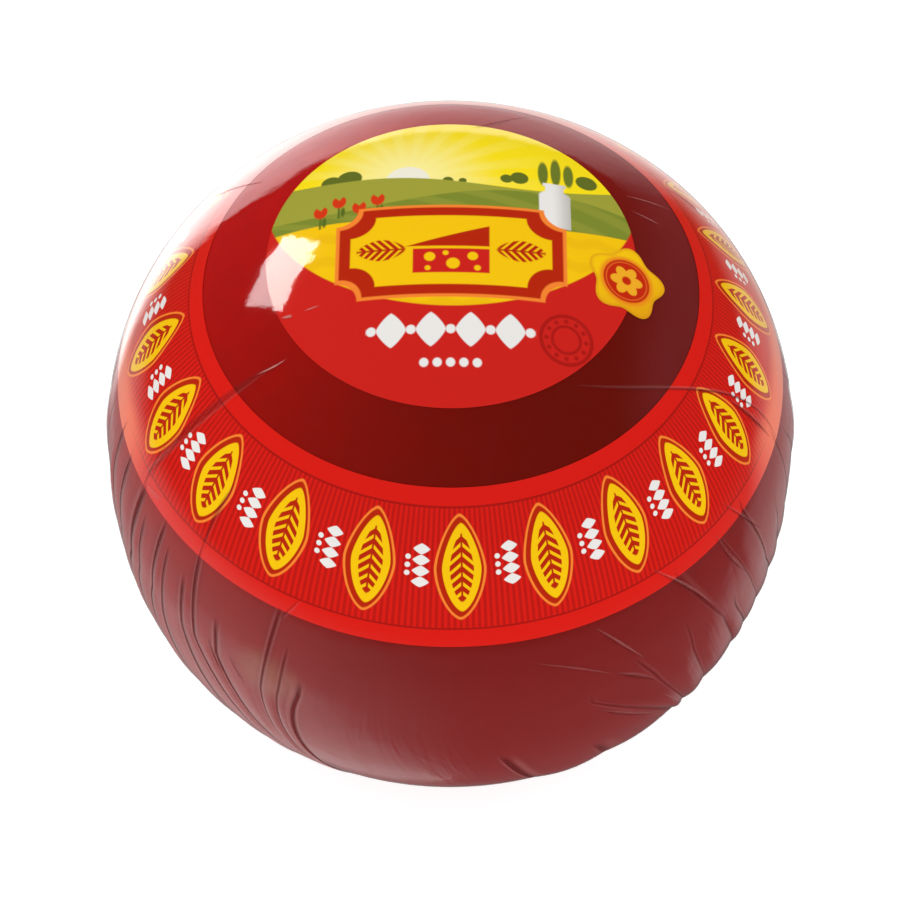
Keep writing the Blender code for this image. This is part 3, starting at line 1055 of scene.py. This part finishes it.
class CHEESE_OT_wax(Operator):
    """Make the waxed ball that shows through the film"""

    bl_idname = "cheese.wax"
    bl_label = "Waxed ball"

    def execute(self, context):
        wrap = context.scene.cheese_wrap
        columns = pleat_columns((0.0, 0.12, 0.3, 0.5, 0.7, 0.88), 1.5)
        mesh = pleated_ball("cheese_wax", 150, columns, -WAX_DEPTH, wrap.pleat_height)
        piece = add_piece("cheese_wax", mesh, wax_material(wrap))
        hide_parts("wrapped_ball")
        return {'FINISHED'}


class CHEESE_OT_film(Operator):
    """Make the clear film, smooth over the crown and pleated below the waist"""

    bl_idname = "cheese.film"
    bl_label = "Clear film"

    def execute(self, context):
        wrap = context.scene.cheese_wrap
        columns = pleat_columns((0.0, 0.06, 0.14, 0.26, 0.40, 0.56, 0.72, 0.86, 0.94), 0.9)
        mesh = pleated_ball("film", 200, columns, wrap.film_lift, wrap.pleat_height)
        pieces = (add_piece("film", mesh, film_material(wrap)),
                  add_piece("film_creases", crease_mesh("film_creases", mesh),
                            crease_material(wrap)))
        for piece in pieces:
            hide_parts("wrapped_ball")
        return {'FINISHED'}


class CHEESE_OT_print(Operator):
    """Make the three printed pieces: round label, band and seal"""

    bl_idname = "cheese.print"
    bl_label = "Printed pieces"

    def execute(self, context):
        inks = context.scene.cheese_inks
        self.add_label(inks)
        self.add_band(inks)
        self.add_seal(inks)
        return {'FINISHED'}

    def add_label(self, inks):
        mesh = draped_disc("print_label", 24, 180, (0.0, 0.0), (1.0, 1.0),
                           lambda angle: np.full(angle.shape, LABEL_RADIUS), PRINT_LIFT)
        material = print_material("label_print", lambda nodes: label_colour(nodes, inks))
        piece = add_shell("print_label", mesh, material)
        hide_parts("label_round")

    def add_band(self, inks):
        rings, columns = 18, 300
        radii = np.linspace(BAND_INNER_RADIUS, BAND_OUTER_RADIUS, rings)[:, None]
        bearing = np.linspace(0.0, 2 * math.pi, columns, endpoint=False)
        level = np.stack((radii * np.sin(bearing), -radii * np.cos(bearing)), axis=-1)
        points = draped(level.reshape(-1, 2), PRINT_LIFT)
        run = np.repeat(crown_run(radii), columns)
        flat = np.column_stack((level.reshape(-1, 2), run))
        mesh = make_mesh("print_band", points, (ring_faces(rings, columns),),
                         (("flat", 'FLOAT_VECTOR', flat),))
        material = print_material("band_print", lambda nodes: band_colour(nodes, inks))
        piece = add_shell("print_band", mesh, material)
        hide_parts("label_band")

    def add_seal(self, inks):
        mesh = draped_disc("print_seal", 10, 100, SEAL_MIDDLE, SEAL_SQUASH,
                           lambda angle: SEAL_RADIUS + SEAL_LOBE_DEPTH
                           * np.cos(SEAL_LOBES * (angle - SEAL_AZIMUTH)), SEAL_LIFT)
        material = print_material("seal_print", lambda nodes: seal_colour(nodes, inks))
        piece = add_shell("print_seal", mesh, material)
        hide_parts("label_seal")


class CHEESE_OT_stage(Operator):
    """Set up the pale floor, the soft light and the camera"""

    bl_idname = "cheese.stage"
    bl_label = "Stage"

    def execute(self, context):
        settings = context.scene.cheese_stage
        self.add_camera(context, settings)
        self.add_floor(context)
        self.add_world(context, settings)
        self.add_lights(context, settings)
        context.scene.view_settings.view_transform = 'Standard'
        return {'FINISHED'}

    def add_camera(self, context, settings):
        middle = Vector((0.0, 0.0, WAIST_HEIGHT))
        back = Vector((0.0, -math.cos(settings.elevation), math.sin(settings.elevation)))
        up = Vector((0.0, math.sin(settings.elevation), math.cos(settings.elevation)))
        data = bpy.data.cameras.new("camera")
        data.lens = settings.lens
        data.sensor_width = 36.0
        data.clip_start = 0.01
        camera = bpy.data.objects.new("camera", data)
        place = middle + back * settings.distance
        aim = place - (middle - up * settings.aim_drop)
        turn = aim.to_track_quat('Z', 'Y').to_matrix() @ Matrix.Rotation(settings.roll, 3, 'Z')
        camera.matrix_world = Matrix.Translation(place) @ turn.to_4x4()
        context.scene.collection.objects.link(camera)
        context.scene.camera = camera

    def add_floor(self, context):
        angle = np.linspace(0.0, 2 * math.pi, 96, endpoint=False)
        rim = np.column_stack((3.0 * np.cos(angle), 3.0 * np.sin(angle), np.zeros(96)))
        mesh = bpy.data.meshes.new("floor")
        mesh.from_pydata(rim.tolist(), [], [list(range(96))])
        material, nodes = new_material("pale_floor")
        matt = nodes.add("ShaderNodeBsdfDiffuse", None, {"Color": (0.60, 0.60, 0.60, 1.0)})
        glow = nodes.add("ShaderNodeEmission", None, {"Strength": 0.75})
        nodes.finish(nodes.add("ShaderNodeAddShader", None, {0: matt, 1: glow}))
        mesh.materials.append(material)
        floor = bpy.data.objects.new("floor", mesh)
        floor.visible_glossy = False
        context.scene.collection.objects.link(floor)

    def add_world(self, context, settings):
        """Soft light from all round, and what the film mirrors."""
        world = bpy.data.worlds.new("studio")
        context.scene.world = world
        nodes = Nodes(world)
        direction = nodes.add("ShaderNodeTexCoord", output="Generated")
        x, y, z = nodes.split(direction)
        level = span(x, y).at_least(0.001)
        turn = nodes.maths('ARCTAN2', x, y)
        left = (-x / level).rise(-0.3, 0.85)
        glare = (z * -0.934 - x * 0.349 - y * 0.081).rise(0.905, 0.985)
        patch = (x * 0.612 + y * 0.513 - z * 0.602).rise(0.87, 0.96)
        table = z.rise(-0.20, -0.45) * (0.07 + left * 0.30) + patch * 0.28 \
            + z.rise(-0.45, -0.75) * (0.03 + glare * 0.30)
        top = z + (-0.45 - turn).at_least(0.0)
        panel = (turn.rise(0.55, 0.20) * 0.75 + turn.rise(0.0, -0.42) * 1.1) \
            * turn.rise(-0.76, -0.54) * z.rise(-0.75, -0.60) * top.rise(0.10, 0.04)
        mirrored = table + panel + 0.01
        path = nodes.add("ShaderNodeLightPath", output="Is Glossy Ray")
        seen = nodes.add("ShaderNodeLightPath", output="Is Camera Ray")
        strength = (path * mirrored + (1.0 - path) * settings.dome).at_least(seen)
        nodes.finish(nodes.add("ShaderNodeBackground", None, {
            "Color": (1.0, 1.0, 1.0, 1.0), "Strength": strength}))

    def add_lights(self, context, settings):
        """A large soft key, and the softbox whose mirror image the film shows."""
        key = self.add_area(context, "key_light", -135.0, 38.0, 1.4, (0.9, 0.7), 0.0,
                            settings.key_power)
        key.visible_glossy = False
        box = self.add_area(context, "softbox", -132.6, 35.8, 1.4, (0.48, 0.29),
                            math.radians(9.0), 3.6)
        box.visible_diffuse = False

    def add_area(self, context, name, azimuth, elevation, distance, size, roll, power):
        turn, rise = math.radians(azimuth), math.radians(elevation)
        toward = Vector((math.cos(rise) * math.sin(turn), -math.cos(rise) * math.cos(turn),
                         math.sin(rise)))
        data = bpy.data.lights.new(name, 'AREA')
        data.shape = 'RECTANGLE'
        data.size, data.size_y = size
        data.energy = power
        light = bpy.data.objects.new(name, data)
        place = Vector((0.0, 0.0, WAIST_HEIGHT)) + toward * distance
        facing = toward.to_track_quat('Z', 'Y').to_matrix() @ Matrix.Rotation(roll, 3, 'Z')
        light.matrix_world = Matrix.Translation(place) @ facing.to_4x4()
        light.visible_camera = False
        context.scene.collection.objects.link(light)
        return light


class CHEESE_PT_panel(Panel):
    """Lists the pieces and their settings"""

    bl_idname = "CHEESE_PT_panel"
    bl_label = "Ball of cheese"
    bl_space_type = 'VIEW_3D'
    bl_region_type = 'UI'
    bl_category = "Cheese"

    def draw(self, context):
        layout = self.layout
        for group, operators in (("cheese_stage", (CHEESE_OT_stage,)),
                                 ("cheese_wrap", (CHEESE_OT_wax, CHEESE_OT_film)),
                                 ("cheese_inks", (CHEESE_OT_print,))):
            box = layout.box()
            settings = getattr(context.scene, group)
            for name in settings.__annotations__:
                box.prop(settings, name)
            for operator in operators:
                box.operator(operator.bl_idname)


CLASSES = (WrapSettings, PrintSettings, StageSettings, CHEESE_OT_stage, CHEESE_OT_wax,
           CHEESE_OT_print, CHEESE_OT_film, CHEESE_PT_panel)


def register():
    for item in CLASSES:
        bpy.utils.register_class(item)
    bpy.types.Scene.cheese_wrap = PointerProperty(type=WrapSettings)
    bpy.types.Scene.cheese_inks = PointerProperty(type=PrintSettings)
    bpy.types.Scene.cheese_stage = PointerProperty(type=StageSettings)


def unregister():
    del bpy.types.Scene.cheese_stage
    del bpy.types.Scene.cheese_inks
    del bpy.types.Scene.cheese_wrap
    for item in reversed(CLASSES):
        bpy.utils.unregister_class(item)


def main():
    register()
    bpy.ops.cheese.stage()
    bpy.ops.cheese.wax()
    bpy.ops.cheese.print()
    bpy.ops.cheese.film()


if __name__ == "__main__":
    main()
